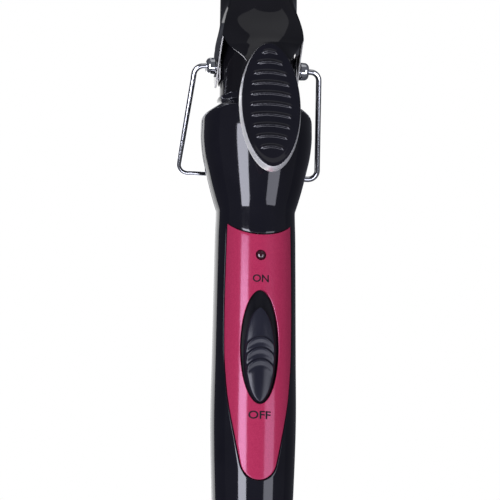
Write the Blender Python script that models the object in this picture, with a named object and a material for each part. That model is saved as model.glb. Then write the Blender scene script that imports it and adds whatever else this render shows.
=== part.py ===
"""A curling iron with a sprung clip, a wire stand, a slide switch and a turning cord gland.

Metres, +Z up. The iron lies on its back, lever side up: the barrel points along +Y, +X is the right side.
Shapes are drawn about the pivot, the barrel's axis along local Y, and hang on one empty that sets them down.
"""

import math

import bmesh
import bpy
from mathutils import Matrix, Vector

MM = 0.001
GAP = 0.3 * MM  # clearance between neighbouring pieces
ROUND = 32  # sides of the large round pieces

# Barrel, measured from the pivot along +Y
BARREL_R = 12.5 * MM
BARREL_WALL = 0.8 * MM
BARREL_END = 139.0 * MM
BARREL_ROOT = -30.0 * MM
TIP_LENGTH = 13.0 * MM
TIP_FACE_R = 6.5 * MM

# Handle and collar
HANDLE_END = -182.0 * MM
HANDLE_WALL = 2.4 * MM
HANDLE_OUTLINE = (  # (y, radius) in mm: lip, rounded shoulder, flare, neck crease, slow swell and taper
    (-11.0, 13.3), (-12.7, 13.4), (-14.2, 14.7), (-15.4, 16.2), (-16.6, 17.5), (-17.6, 18.3), (-19.2, 18.6),
    (-25.0, 18.6), (-30.5, 18.0), (-36.0, 16.8), (-41.5, 15.5), (-46.0, 14.3), (-49.5, 13.15), (-58.0, 13.35),
    (-80.0, 13.6), (-100.0, 13.8), (-118.0, 14.0), (-130.0, 13.8), (-147.0, 13.2), (-163.0, 12.5),
    (-175.0, 11.7), (-180.0, 10.6), (-182.0, 9.0),
)

# Pivot
PIVOT_Z = 1.0 * MM
SADDLE_SHEET = 0.4 * MM
EAR_INNER_X = 13.55 * MM
SHEET = 0.5 * MM
BUSHING_R = 3.0 * MM
BUSHING_BORE = 1.3 * MM
BUSHING_OUT_X = 17.4 * MM

# Stand
WIRE_R = 0.95 * MM
STAND_TOP_X = 21.0 * MM
STAND_FOOT_X = 24.0 * MM
STAND_REACH = 32.0 * MM
STAND_DROP = 19.6 * MM
WIRE_BEND = 3.0 * MM

# Thumb pad, its top face from near to far end
PAD_NEAR = (0.7 * MM, 27.0 * MM)
PAD_FAR = (-43.6 * MM, 36.2 * MM)
PAD_HALF_WIDTH = 9.6 * MM
PAD_THICK = 3.0 * MM
PAD_RIBS = 10
TONGUE_HALF = 7.1 * MM

# Face panel, light and switch
PANEL_TOP = -56.0 * MM
PANEL_SAG = 4.4 * MM
PANEL_END = -141.3 * MM
PANEL_THICK = 1.0 * MM
PANEL_OUTLINE = ((-56.0, 12.2), (-80.0, 12.9), (-98.0, 12.8), (-115.0, 10.9), (-128.4, 7.9), (-136.0, 6.0))
LIGHT_Y = -67.3 * MM
LIGHT_R = 1.5 * MM
RECESS = (-79.1 * MM, -116.8 * MM, 6.3 * MM)  # near end, far end, half width
KNOB = (-84.9 * MM, -116.3 * MM, 5.2 * MM)
KNOB_RIDGES = (-95.2 * MM, -98.8 * MM, -102.6 * MM)
SWITCH_TRAVEL = 5.0 * MM

# Cord gland
GLAND_R = 6.4 * MM
GLAND_BORE = 3.0 * MM
GLAND_OUT = -188.0 * MM

LENGTH_MID = (BARREL_END + TIP_LENGTH + GLAND_OUT) / 2
FLOOR_DROP = STAND_DROP - PIVOT_Z + WIRE_R


# Materials -------------------------------------------------------------------------------------------------

MATERIALS = {  # colour, roughness, metallic
    "black_gloss": ((0.012, 0.011, 0.017), 0.12, 0.0),
    "barrel_black": ((0.020, 0.019, 0.024), 0.18, 0.6),
    "magenta": ((0.47, 0.035, 0.11), 0.25, 0.0),
    "chrome": ((0.75, 0.76, 0.79), 0.08, 1.0),
    "lens": ((0.06, 0.01, 0.02), 0.05, 0.0),
    "steel": ((0.55, 0.55, 0.57), 0.30, 1.0),
    "aluminium": ((0.70, 0.71, 0.72), 0.35, 1.0),
    "ceramic": ((0.80, 0.78, 0.73), 0.60, 0.0),
    "board": ((0.05, 0.20, 0.09), 0.50, 0.0),
    "heat_resin": ((0.10, 0.08, 0.07), 0.55, 0.0),
    "brass": ((0.75, 0.55, 0.25), 0.25, 1.0),
    "lead_white": ((0.75, 0.74, 0.70), 0.55, 0.0),
}


def clear_scene():
    for thing in list(bpy.data.objects):
        bpy.data.objects.remove(thing, do_unlink=True)


def material(name):
    found = bpy.data.materials.get(name)
    if found:
        return found
    colour, roughness, metallic = MATERIALS[name]
    made = bpy.data.materials.new(name)
    made.use_nodes = True
    shader = made.node_tree.nodes["Principled BSDF"]
    shader.inputs["Base Color"].default_value = (*colour, 1.0)
    shader.inputs["Roughness"].default_value = roughness
    shader.inputs["Metallic"].default_value = metallic
    made.diffuse_color = (*colour, 1.0)
    return made


# Making objects --------------------------------------------------------------------------------------------


def empty(name, parent=None, location=(0, 0, 0)):
    made = bpy.data.objects.new(name, None)
    bpy.context.collection.objects.link(made)
    made.parent = parent
    made.location = location
    return made


def add(name, shape, finish, parent):
    """An object from a bmesh drawn about the pivot, hung on a parent whose own place is taken back out."""
    bmesh.ops.remove_doubles(shape, verts=shape.verts, dist=1e-6)
    bmesh.ops.recalc_face_normals(shape, faces=shape.faces)
    if shape.calc_volume(signed=True) < 0:
        bmesh.ops.reverse_faces(shape, faces=shape.faces)
    mesh = bpy.data.meshes.new(name)
    shape.to_mesh(mesh)
    shape.free()
    mesh.shade_smooth()
    mesh.set_sharp_from_angle(angle=math.radians(35))
    if finish:
        mesh.materials.append(material(finish))
    made = bpy.data.objects.new(name, mesh)
    bpy.context.collection.objects.link(made)
    made.parent = parent
    if parent.parent:
        mesh.transform(Matrix.Translation(-parent.location))
    return made


def cutter(name, shape, parent):
    made = add(name, shape, None, parent)
    made.hide_render = True
    made.display_type = "WIRE"
    return made


def combine(target, operation, other, solver="EXACT"):
    step = target.modifiers.new(f"{operation.lower()}_{other.name}", "BOOLEAN")
    step.operation = operation
    step.solver = solver
    step.object = other


# Shapes ----------------------------------------------------------------------------------------------------


def smoothstep(value, low, high):
    part = min(1.0, max(0.0, (value - low) / (high - low)))
    return part * part * (3 - 2 * part)


def mix(first, second, part):
    return first + (second - first) * part


def along(points, y):
    """The value at y, in metres, of straight runs through (y, value) points in falling y, in mm."""
    place = y / MM
    for (y0, v0), (y1, v1) in zip(points, points[1:]):
        if place >= y1:
            return mix(v0, v1, min(1.0, max(0.0, (y0 - place) / (y0 - y1)))) * MM
    return points[-1][1] * MM


def handle_radius(y):
    return along(HANDLE_OUTLINE, y)


def turned(profile, sides=ROUND, axis="Y", centre=(0, 0, 0)):
    """A solid of revolution from a closed (place, radius) profile; points on the axis close it."""
    shape = bmesh.new()
    rings = []
    for place, radius in profile:
        ring = []
        for i in range(sides if radius > 0 else 1):
            turn = 2 * math.pi * (i + 0.5) / sides
            across, up = radius * math.sin(turn), radius * math.cos(turn)
            point = {"Y": (across, place, up), "X": (place, across, up), "Z": (across, up, place)}[axis]
            ring.append(shape.verts.new(Vector(point) + Vector(centre)))
        rings.append(ring)
    on_axis = len(rings[0]) == 1 or len(rings[-1]) == 1
    pairs = list(zip(rings, rings[1:]))
    if not on_axis:
        pairs.append((rings[-1], rings[0]))
    for near, far in pairs:
        for i in range(sides):
            corners = [near[i % len(near)], near[(i + 1) % len(near)]]
            corners += [far[(i + 1) % len(far)], far[i % len(far)]]
            unique = list(dict.fromkeys(corners))
            if len(unique) > 2:
                shape.faces.new(unique)
    return shape


def tube_profile(start, end, inner, outer):
    return [(start, outer), (end, outer), (end, inner), (start, inner)]


def rod_profile(start, end, radius):
    return [(start, 0), (start, radius), (end, radius), (end, 0)]


def box(low, high):
    shape = bmesh.new()
    bmesh.ops.create_cube(shape, size=1.0)
    low, high = Vector(low), Vector(high)
    for vert in shape.verts:
        vert.co = Vector(mix(low[i], high[i], vert.co[i] + 0.5) for i in range(3))
    return shape


def slab(outer, inner):
    """A closed solid between two equal grids of points, walled round its rim."""
    shape = bmesh.new()
    rows, columns = len(outer), len(outer[0])
    skins = [[[shape.verts.new(point) for point in row] for row in grid] for grid in (outer, inner)]
    for skin in skins:
        for r in range(rows - 1):
            for c in range(columns - 1):
                shape.faces.new((skin[r][c], skin[r][c + 1], skin[r + 1][c + 1], skin[r + 1][c]))
    rim = [(0, c) for c in range(columns)] + [(r, columns - 1) for r in range(1, rows)]
    rim += [(rows - 1, c) for c in range(columns - 2, -1, -1)] + [(r, 0) for r in range(rows - 2, 0, -1)]
    for (r0, c0), (r1, c1) in zip(rim, rim[1:] + rim[:1]):
        shape.faces.new((skins[0][r0][c0], skins[0][r1][c1], skins[1][r1][c1], skins[1][r0][c0]))
    return shape


def prism(outline, low, high, frame=None):
    """A flat outline of (x, y) points pushed from low to high along Z, then placed by a matrix."""
    shape = bmesh.new()
    layers = [[shape.verts.new((x, y, z)) for x, y in outline] for z in (low, high)]
    for layer in layers:
        shape.faces.new(layer)
    count = len(outline)
    for i in range(count):
        shape.faces.new((layers[0][i], layers[0][(i + 1) % count], layers[1][(i + 1) % count], layers[1][i]))
    if frame:
        shape.transform(frame)
    return shape


def oval(near, far, half_width, count=28):
    """An ellipse's outline, its long axis along Y."""
    turns = [2 * math.pi * i / count for i in range(count)]
    return [(half_width * math.sin(t), mix(near, far, (1 - math.cos(t)) / 2)) for t in turns]


def wire(path, radius, sides=8):
    """A round wire along a path of points, with flat ends."""
    shape = bmesh.new()
    rings = []
    side = None
    for i, point in enumerate(path):
        ahead = path[min(i + 1, len(path) - 1)] - path[max(i - 1, 0)]
        ahead.normalize()
        if side is None:
            side = ahead.orthogonal()
        side = (side - ahead * side.dot(ahead)).normalized()
        other = ahead.cross(side)
        turns = [2 * math.pi * (k + 0.5) / sides for k in range(sides)]
        ring = [point + radius * (math.cos(t) * side + math.sin(t) * other) for t in turns]
        rings.append([shape.verts.new(place) for place in ring])
    for near, far in zip(rings, rings[1:]):
        for k in range(sides):
            shape.faces.new((near[k], near[(k + 1) % sides], far[(k + 1) % sides], far[k]))
    shape.faces.new(rings[0])
    shape.faces.new(rings[-1])
    return shape


def rounded(corners, radius, steps=5):
    """The corners of a path, each but the ends replaced by a short curve."""
    path = [corners[0]]
    for before, corner, after in zip(corners, corners[1:], corners[2:]):
        start = corner + (before - corner).normalized() * radius
        end = corner + (after - corner).normalized() * radius
        for i in range(steps + 1):
            part = i / steps
            path.append((1 - part) ** 2 * start + 2 * part * (1 - part) * corner + part ** 2 * end)
    path.append(corners[-1])
    return path


# Barrel and heater -----------------------------------------------------------------------------------------


def make_barrel(root):
    add("barrel_tube", turned(tube_profile(BARREL_ROOT, BARREL_END, BARREL_R - BARREL_WALL, BARREL_R)),
        "barrel_black", root)
    plug = BARREL_R - BARREL_WALL - GAP
    start = BARREL_END + GAP
    dome = [(BARREL_END - 8 * MM, 0), (BARREL_END - 8 * MM, plug), (start, plug), (start, BARREL_R)]
    for i in range(6):
        turn = math.pi / 2 * i / 5
        dome.append((start + 4 * MM + (TIP_LENGTH - 4 * MM - GAP) * math.sin(turn),
                     TIP_FACE_R + (BARREL_R - TIP_FACE_R) * math.cos(turn)))
    dome.append((BARREL_END + TIP_LENGTH, 0))
    add("barrel_tip", turned(dome), "black_gloss", root)


def half_round(name, sign, root):
    """One aluminium spreader: a half-round bar with a flat for the heater."""
    radius = BARREL_R - BARREL_WALL - GAP
    flat = 1.6 * MM
    reach = math.acos(flat / radius)
    outline = [(radius * math.sin(t), sign * radius * math.cos(t))
               for t in (mix(-reach, reach, i / 16) for i in range(17))]
    stand_up = Matrix.Rotation(math.pi / 2, 4, "X")
    add(name, prism(outline, -110 * MM, -12 * MM, stand_up), "aluminium", root)


def make_heater(root):
    half_round("heat_spreader_front", 1, root)
    half_round("heat_spreader_rear", -1, root)
    add("heater_plate", box((-8 * MM, 20 * MM, -1.1 * MM), (8 * MM, 104 * MM, 1.1 * MM)), "ceramic", root)
    for name, side in (("heater_lead_left", -1), ("heater_lead_right", 1)):
        route = [Vector((side * 4.0, 19.5, 0)) * MM, Vector((side * 4.0, -34, 0)) * MM,
                 Vector((side * 5.0, -58, 0.4)) * MM, Vector((side * 5.0, -76, 0.4)) * MM]
        add(name, wire(rounded(route, 8 * MM, 3), 0.8 * MM, 6), "lead_white", root)
    add("thermal_fuse", turned(rod_profile(-46 * MM, -37 * MM, 1.6 * MM), 12, centre=(0, 0, -5 * MM)),
        "heat_resin", root)
    ring = tube_profile(-28 * MM, -20 * MM, BARREL_R + GAP, handle_radius(-28 * MM) - HANDLE_WALL - GAP)
    add("barrel_ring", turned(ring, 32), "heat_resin", root)


def make_saddle(root):
    """The strap under the barrel whose two ears carry the pivot."""
    inner = BARREL_R + GAP
    section = []
    for radius in (inner + SADDLE_SHEET, inner):
        arc = [(radius * math.sin(t), -radius * math.cos(t))
               for t in (mix(-math.pi / 2, math.pi / 2, i / 20) for i in range(21))]
        ears = [(-radius, 3.6 * MM)] + arc + [(radius, 3.6 * MM)]
        section += ears if radius > inner else ears[::-1]
    stand_up = Matrix.Rotation(math.pi / 2, 4, "X")
    saddle = add("pivot_saddle", prism(section, -5 * MM, 5 * MM, stand_up), "steel", root)
    holes = turned(rod_profile(-16 * MM, 16 * MM, 2.2 * MM), 16, "X", (0, 0, PIVOT_Z))
    combine(saddle, "DIFFERENCE", cutter("cut_saddle_holes", holes, root))


def make_bushings(root):
    start = BARREL_R + GAP + 0.1 * MM
    neck = EAR_INNER_X + SHEET + GAP
    for name, side in (("pivot_bushing_left", -1), ("pivot_bushing_right", 1)):
        profile = [(start, BUSHING_BORE), (start, 1.9 * MM), (neck, 1.9 * MM), (neck, BUSHING_R)]
        for i in range(6):
            turn = math.pi / 2 * i / 5
            profile.append((BUSHING_OUT_X - 1.1 * MM + 1.1 * MM * math.sin(turn),
                            BUSHING_R - 1.1 * MM + 1.1 * MM * math.cos(turn)))
        profile.append((BUSHING_OUT_X, BUSHING_BORE))
        profile = [(side * x, r) for x, r in profile]
        add(name, turned(profile, 16, "X", (0, 0, PIVOT_Z)), "chrome", root)


def make_spring(root):
    """The coil between the barrel and the clip's neck."""
    turns, steps, radius = 6, 10, 2.6 * MM
    low, high = BARREL_R + 0.8 * MM, 22.3 * MM
    path = []
    for i in range(turns * steps + 1):
        turn = 2 * math.pi * i / steps
        height = mix(low, high, i / (turns * steps))
        path.append(Vector((radius * math.cos(turn), -4.6 * MM + radius * math.sin(turn), height)))
    add("clip_spring", wire(path, 0.35 * MM, 5), "steel", root)


# Clip ------------------------------------------------------------------------------------------------------

APEX_Y = 6.8 * MM  # where the notch beside each ear begins
NOTCH_END = -4.9 * MM
EAR_END = -6.8 * MM
FLARE_START = 26.0 * MM
BLADE_TIP = 131.0 * MM
BLADE_R = BARREL_R + GAP
APEX = (13.2 * MM, 13.4 * MM)  # the notch's start, across and up
NECK_HEIGHTS = (  # (y, inner height of the middle line) in mm, from the blade up to the end of the tongue
    (26.0, 12.8), (20.0, 13.6), (13.0, 15.3), (5.3, 18.6), (0.0, 22.2), (-4.9, 24.3), (-12.0, 25.75),
    (-38.0, 31.15),
)


def blade_reach(y):
    """How far round the barrel the blade goes each way, with a rounded tip."""
    reach = math.radians(mix(80, 62, smoothstep(y, 20 * MM, BLADE_TIP)))
    left = (BLADE_TIP - y) / (10 * MM)
    return reach * math.sqrt(max(0.0, 1 - (1 - min(1.0, left)) ** 2))


def clip_point(y, part):
    """A point of the blade: part runs from -1 to 1 over the arch, and on to -2 and 2 down its sides."""
    reach = blade_reach(y)
    side = math.copysign(1.0, part)
    size = abs(part)
    turn = side * reach * (0.62 * min(size, 1.0) + 0.38 * max(0.0, size - 1.0))
    round_x, round_z = BLADE_R * math.sin(turn), BLADE_R * math.cos(turn)
    top = along(NECK_HEIGHTS, y)
    if size <= 1:
        flat_x = APEX[0] * part
        flat_z = top - (top - APEX[1]) * size ** 2.4
    else:
        flat_x = side * mix(APEX[0], EAR_INNER_X, size - 1)
        flat_z = mix(APEX[1], -2.5 * MM, size - 1)
    lift = 1 - smoothstep(y, APEX_Y, FLARE_START)
    if size > 1:
        lift = mix(lift, 1 - smoothstep(y, APEX_Y, APEX_Y + 8 * MM), size - 1)
    return Vector((mix(round_x, flat_x, lift), y, mix(round_z, flat_z, lift)))


def tongue_point(y, part):
    narrow = smoothstep(-y, -APEX_Y, -NOTCH_END)
    half = mix(APEX[0], TONGUE_HALF, (-y + APEX_Y) / (APEX_Y - NOTCH_END)) if y > NOTCH_END else TONGUE_HALF
    half *= 1 - 0.55 * smoothstep(-y, 26 * MM, 40 * MM)
    top = along(NECK_HEIGHTS, y)
    crown = mix(top - APEX[1], 0.5 * MM, narrow)
    return Vector((half * part, y, top - crown * abs(part) ** 2.4))


def ear_point(part_along, part_down, side):
    y = mix(APEX_Y, EAR_END, part_along)
    top = mix(APEX[1], -1 * MM, part_along ** 0.8)
    bulge = math.sqrt(max(0.0, 1 - (2 * part_along - 1) ** 2))
    bottom = -1 * MM - 3.2 * MM * bulge - 1.5 * MM * (1 - part_along)
    x = side * mix(APEX[0], EAR_INNER_X, min(1.0, part_down * (1 - part_along) + part_along))
    return Vector((x, y, mix(top, bottom, part_down)))


def faces_inward(blade):
    """Whether the open sheet's faces look at the barrel."""
    face = max(blade.data.polygons, key=lambda polygon: polygon.area)
    return face.normal.dot(Vector((face.center.x, 0, face.center.z))) < 0


def make_clip_blade(clip):
    shape = bmesh.new()
    arch, flank = 12, 4
    parts = [mix(-2, -1, i / flank) for i in range(flank)]
    parts += [mix(-1, 1, i / arch) for i in range(arch)]
    parts += [mix(1, 2, i / flank) for i in range(flank + 1)]
    stations = [BLADE_TIP - 10 * MM * (1 - math.cos(math.pi / 2 * i / 5)) for i in range(6)]
    stations += [mix(BLADE_TIP - 10 * MM, FLARE_START, i / 6) for i in range(1, 7)]
    stations += [mix(FLARE_START, APEX_Y, i / 7) for i in range(1, 8)]
    rows = [[shape.verts.new(clip_point(y, part)) for part in parts] for y in stations]
    apex_row = rows[-1]

    def join(first, second):
        for c in range(len(first) - 1):
            shape.faces.new((first[c], first[c + 1], second[c + 1], second[c]))

    for near, far in zip(rows, rows[1:]):
        join(near, far)
    last = apex_row[flank:flank + arch + 1]
    tongue = [mix(APEX_Y, NOTCH_END, i / 5) for i in range(1, 6)]
    tongue += [-12 * MM, -26 * MM, -31 * MM, -35 * MM, -38 * MM]
    for y in tongue:
        row = [shape.verts.new(tongue_point(y, mix(-1, 1, i / arch))) for i in range(arch + 1)]
        join(last, row)
        last = row
    for side, start in ((1, apex_row[flank + arch:]), (-1, apex_row[flank::-1])):
        last = start
        for step in range(1, 8):
            row = [shape.verts.new(ear_point(step / 7, i / flank, side)) for i in range(flank + 1)]
            join(last, row)
            last = row
    blade = add("clip_blade", shape, "black_gloss", clip)
    if faces_inward(blade):
        blade.data.flip_normals()
    sheet = blade.modifiers.new("sheet", "SOLIDIFY")
    sheet.thickness = SHEET
    sheet.offset = 1.0
    sheet.use_even_offset = True
    holes = turned(rod_profile(-18 * MM, 18 * MM, 2.2 * MM), 16, "X", (0, 0, PIVOT_Z))
    combine(blade, "DIFFERENCE", cutter("cut_ear_holes", holes, clip))
    return blade


def pad_frame():
    """The pad's own frame: Y along its top face towards the barrel, Z out of it, from its near end."""
    near, far = Vector((0, *PAD_NEAR)), Vector((0, *PAD_FAR))
    ahead = (near - far).normalized()
    up = Vector((1, 0, 0)).cross(ahead)
    turn = Matrix((Vector((1, 0, 0)), ahead, up)).transposed().to_4x4()
    return Matrix.Translation(near) @ turn, (near - far).length


def pad_outline(length, grow, count=32):
    """The pad's oval seen from above, its near end a little blunter than its far end."""
    points = []
    for i in range(count):
        turn = 2 * math.pi * i / count
        lengthways = math.cos(turn)
        across = math.sin(turn) * (1 - 0.06 * lengthways * lengthways)
        points.append(((PAD_HALF_WIDTH + grow) * across, -length / 2 + (length / 2 + grow) * lengthways))
    return points


def make_thumb_pad(clip):
    place, length = pad_frame()
    levels = ((-PAD_THICK, 0.5 * MM), (-0.5 * MM, 0.0), (0.0, -0.35 * MM), (-0.25 * MM, -1.2 * MM))
    shape = bmesh.new()
    rings = [[shape.verts.new((x, y, z)) for x, y in pad_outline(length, grow)] for z, grow in levels]
    for low, high in zip(rings, rings[1:]):
        for i in range(len(low)):
            shape.faces.new((low[i], low[(i + 1) % len(low)], high[(i + 1) % len(low)], high[i]))
    shape.faces.new(rings[0])
    shape.faces.new(rings[-1])
    shape.transform(place)
    pad = add("thumb_pad", shape, "black_gloss", clip)
    ribs = bmesh.new()
    for i in range(PAD_RIBS):
        centre = mix(-3.6 * MM, -length + 5.6 * MM, i / (PAD_RIBS - 1))
        lengthways = (centre + length / 2) / (length / 2)
        half = 0.76 * PAD_HALF_WIDTH * math.sqrt(1 - lengthways * lengthways)
        bowed = [(u, centre + 0.8 * MM * (1 - u * u)) for u in (-1, -0.5, 0, 0.5, 1)]
        path = [Vector((half * u, y, -0.15 * MM)) for u, y in bowed]
        rib = wire(path, 0.62 * MM, 6)
        mesh = bpy.data.meshes.new("rib")
        rib.to_mesh(mesh)
        rib.free()
        ribs.from_mesh(mesh)
        bpy.data.meshes.remove(mesh)
    ribs.transform(place)
    combine(pad, "UNION", cutter("add_pad_ribs", ribs, clip))
    return pad


def make_pad_screws(clip, blade, pad):
    place, length = pad_frame()
    for name, centre in (("pad_screw_near", -13 * MM), ("pad_screw_far", -29 * MM)):
        underside = -PAD_THICK - GAP - SHEET - 0.05 * MM
        head = underside - GAP - 1.0 * MM
        profile = [(head, 0), (head, 2.0 * MM), (head + 1.0 * MM, 2.0 * MM), (head + 1.0 * MM, 1.0 * MM),
                   (-1.4 * MM, 1.0 * MM), (-1.4 * MM, 0)]
        screw = turned(profile, 12, "Z", (0, centre, 0))
        screw.transform(place)
        add(name, screw, "steel", clip)
        hole = turned(rod_profile(head, -1.1 * MM, 1.3 * MM), 12, "Z", (0, centre, 0))
        hole.transform(place)
        hole = cutter(f"cut_{name}", hole, clip)
        combine(blade, "DIFFERENCE", hole)
        combine(pad, "DIFFERENCE", hole)


# Stand -----------------------------------------------------------------------------------------------------


def make_stand(stand):
    foot = (-STAND_REACH, PIVOT_Z - STAND_DROP)
    corners = [Vector((side * x, y, z)) for side, x, y, z in (
        (-1, EAR_INNER_X, 0, PIVOT_Z), (-1, STAND_TOP_X, 0, PIVOT_Z), (-1, STAND_FOOT_X, *foot),
        (1, STAND_FOOT_X, *foot), (1, STAND_TOP_X, 0, PIVOT_Z), (1, EAR_INNER_X, 0, PIVOT_Z))]
    add("stand_wire", wire(rounded(corners, WIRE_BEND), WIRE_R, 10), "chrome", stand)


# Handle ----------------------------------------------------------------------------------------------------

SCREW_PLACES = (("handle_screw_near", -53.5 * MM), ("handle_screw_far", -150 * MM))
BOARD_SCREW_PLACES = (("board_screw_near", -61 * MM), ("board_screw_far", -121 * MM))
BOARD_TOP, BOARD_LOW = -1.3 * MM, -2.9 * MM
POST_R = 2.7 * MM
SCREW_R = 1.0 * MM
SCREW_HEAD_R = 2.4 * MM


def handle_solid():
    outer = [(y * MM, radius * MM) for y, radius in HANDLE_OUTLINE]
    bore = BARREL_R + GAP
    inner = [(-11 * MM, bore), (-15 * MM, bore), (-19 * MM, handle_radius(-21 * MM) - HANDLE_WALL)]
    inner += [(y, radius - HANDLE_WALL) for y, radius in outer if -176 * MM < y < -24 * MM]
    inner += [(-179.4 * MM, 8.4 * MM), (-179.4 * MM, 5.3 * MM), (HANDLE_END, 5.3 * MM)]
    return turned(outer + inner[::-1])


def half_shell(name, sign, root):
    shell = add(name, handle_solid(), "black_gloss", root)
    low, high = sorted((sign * GAP / 2, -sign * 30 * MM))
    side = box((-40 * MM, -200 * MM, low), (40 * MM, 0, high))
    combine(shell, "DIFFERENCE", cutter(f"cut_{name}", side, root))
    return shell


def rods(places, low, high, radius):
    """Upright rods at several places along the handle, in one shape."""
    together = bmesh.new()
    for _, y in places:
        rod = turned(rod_profile(low, high, radius), 16, "Z", (0, y, 0))
        mesh = bpy.data.meshes.new("rod")
        rod.to_mesh(mesh)
        rod.free()
        together.from_mesh(mesh)
        bpy.data.meshes.remove(mesh)
    return together


def panel_grid(depth, widen):
    """The panel's area as points laid on the handle, a depth below its surface, grown by widen."""
    straight = [mix(PANEL_TOP, -136 * MM, i / 12) for i in range(13)]
    rows = [(y, along(PANEL_OUTLINE, y)) for y in straight]
    cap = rows[-1]
    for i in range(1, 6):
        turn = math.pi / 2 * i / 5
        rows.append((mix(cap[0], PANEL_END, math.sin(turn)), max(cap[1] * math.cos(turn), 0.05 * MM)))
    grid = []
    for index, (y, half) in enumerate(rows):
        shift = widen * (1 - 2 * index / (len(rows) - 1))
        line = []
        for column in range(13):
            part = column / 6 - 1
            sag = PANEL_SAG * (1 - part * part) * max(0.0, 1 - index / 5)
            place = y + shift - sag
            surface = handle_radius(place)
            turn = (half + widen) * part / surface
            radius = surface - depth
            line.append(Vector((radius * math.sin(turn), place, radius * math.cos(turn))))
        grid.append(line)
    return grid


def make_face_panel(root, front):
    pocket = slab(panel_grid(-2 * MM, GAP), panel_grid(PANEL_THICK + GAP, GAP))
    combine(front, "DIFFERENCE", cutter("cut_panel_pocket", pocket, root), "MANIFOLD")
    panel = add("face_panel", slab(panel_grid(0, 0), panel_grid(PANEL_THICK, 0)), "magenta", root)
    light_hole = turned(rod_profile(8 * MM, 20 * MM, LIGHT_R + GAP), 20, "Z", (0, LIGHT_Y, 0))
    light_hole = cutter("cut_light_hole", light_hole, root)
    combine(panel, "DIFFERENCE", light_hole)
    combine(front, "DIFFERENCE", light_hole, "MANIFOLD")
    recess = prism(oval(*RECESS), 8 * MM, 20 * MM)
    combine(panel, "DIFFERENCE", cutter("cut_recess", recess, root))
    slot = box((-1.6 * MM, -104.4 * MM, 5 * MM), (1.6 * MM, -98.6 * MM + SWITCH_TRAVEL, 20 * MM))
    combine(front, "DIFFERENCE", cutter("cut_switch_slot", slot, root), "MANIFOLD")


def add_posts(shell, name, places, post, hole, root):
    """Screw posts on a shell, each a (low, high, radius) rod with a (low, high, radius) bore."""
    combine(shell, "UNION", cutter(f"add_{name}", rods(places, *post), root), "MANIFOLD")
    combine(shell, "DIFFERENCE", cutter(f"cut_{name}", rods(places, *hole), root), "MANIFOLD")


def make_handle(root):
    front, rear = half_shell("handle_front_shell", 1, root), half_shell("handle_rear_shell", -1, root)
    bore = SCREW_R + GAP
    add_posts(front, "front_posts", SCREW_PLACES, (0.4 * MM, 12 * MM, POST_R), (-1 * MM, 9 * MM, bore), root)
    add_posts(rear, "rear_posts", SCREW_PLACES, (-12 * MM, -0.4 * MM, POST_R), (-20 * MM, 1 * MM, bore), root)
    heads = cutter("cut_head_seats", rods(SCREW_PLACES, -20 * MM, -11.3 * MM, SCREW_HEAD_R + GAP), root)
    combine(rear, "DIFFERENCE", heads, "MANIFOLD")
    board_post = (-12 * MM, BOARD_LOW - GAP, 2.4 * MM)
    add_posts(rear, "board_posts", BOARD_SCREW_PLACES, board_post, (-8.5 * MM, 1 * MM, bore), root)
    for name, y in SCREW_PLACES:
        make_screw(name, y, -12.7 * MM, -11.6 * MM, 7.5 * MM, root)
    for name, y in BOARD_SCREW_PLACES:
        make_screw(name, y, BOARD_TOP + 1.3 * MM, BOARD_TOP + GAP, -8 * MM, root)
    make_face_panel(root, front)


def make_screw(name, y, head_out, head_in, end, root):
    profile = [(head_out, 0), (head_out, SCREW_HEAD_R), (head_in, SCREW_HEAD_R), (head_in, SCREW_R),
               (end, SCREW_R), (end, 0)]
    add(name, turned(profile, 16, "Z", (0, y, 0)), "steel", root)


# Switch and light ------------------------------------------------------------------------------------------

LEVER = (-102.5 * MM, -100.5 * MM)


def make_board(root):
    board = add("circuit_board", box((-8.5 * MM, -124 * MM, BOARD_LOW), (8.5 * MM, -58.5 * MM, BOARD_TOP)),
                "board", root)
    holes = rods(BOARD_SCREW_PLACES, -6 * MM, 2 * MM, SCREW_R + GAP)
    combine(board, "DIFFERENCE", cutter("cut_board_holes", holes, root))
    base = BOARD_TOP + GAP
    lamp = [(base, 0), (base, LIGHT_R)]
    lamp += [(base + 2 * MM + LIGHT_R * math.sin(t), LIGHT_R * math.cos(t)) for t in (0, 0.4, 0.8, 1.2)]
    lamp.append((base + 2 * MM + LIGHT_R, 0))
    add("indicator_lamp", turned(lamp, 16, "Z", (0, LIGHT_Y, 0)), "lens", root)
    top = handle_radius(LIGHT_Y)
    lens = [(3 * MM, 0), (3 * MM, 1.2 * MM), (top - 3.2 * MM, 1.2 * MM), (top - 3.2 * MM, LIGHT_R)]
    lens += [(top - 0.4 * MM + 1.1 * MM * math.sin(t), LIGHT_R * math.cos(t)) for t in (0, 0.4, 0.8, 1.2)]
    lens.append((top + 0.7 * MM, 0))
    add("indicator_lens", turned(lens, 20, "Z", (0, LIGHT_Y, 0)), "lens", root)
    case = box((-4.5 * MM, -110 * MM, base), (4.5 * MM, -90 * MM, 4.7 * MM))
    body = add("slide_switch", case, "steel", root)
    slot = box((-1.3 * MM, LEVER[0] - GAP, 3.4 * MM), (1.3 * MM, LEVER[1] + SWITCH_TRAVEL + GAP, 6 * MM))
    combine(body, "DIFFERENCE", cutter("cut_lever_slot", slot, root))


def knob_grid(lift):
    """Points over the knob's pointed oval; lift gives each point's height over the floor of the recess."""
    floor = handle_radius((KNOB[0] + KNOB[1]) / 2) - PANEL_THICK
    grid = []
    for row in range(19):
        turn = math.pi * row / 18
        half = max(KNOB[2] * math.sin(turn) ** 1.05, 0.04 * MM)
        y = mix(KNOB[0], KNOB[1], (1 - math.cos(turn)) / 2)
        line = []
        for column in range(9):
            part = column / 4 - 1
            x = half * part
            base = math.sqrt(floor * floor - x * x)
            line.append(Vector((x, y, base + lift(part, math.sin(turn), y))))
        grid.append(line)
    return grid


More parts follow.
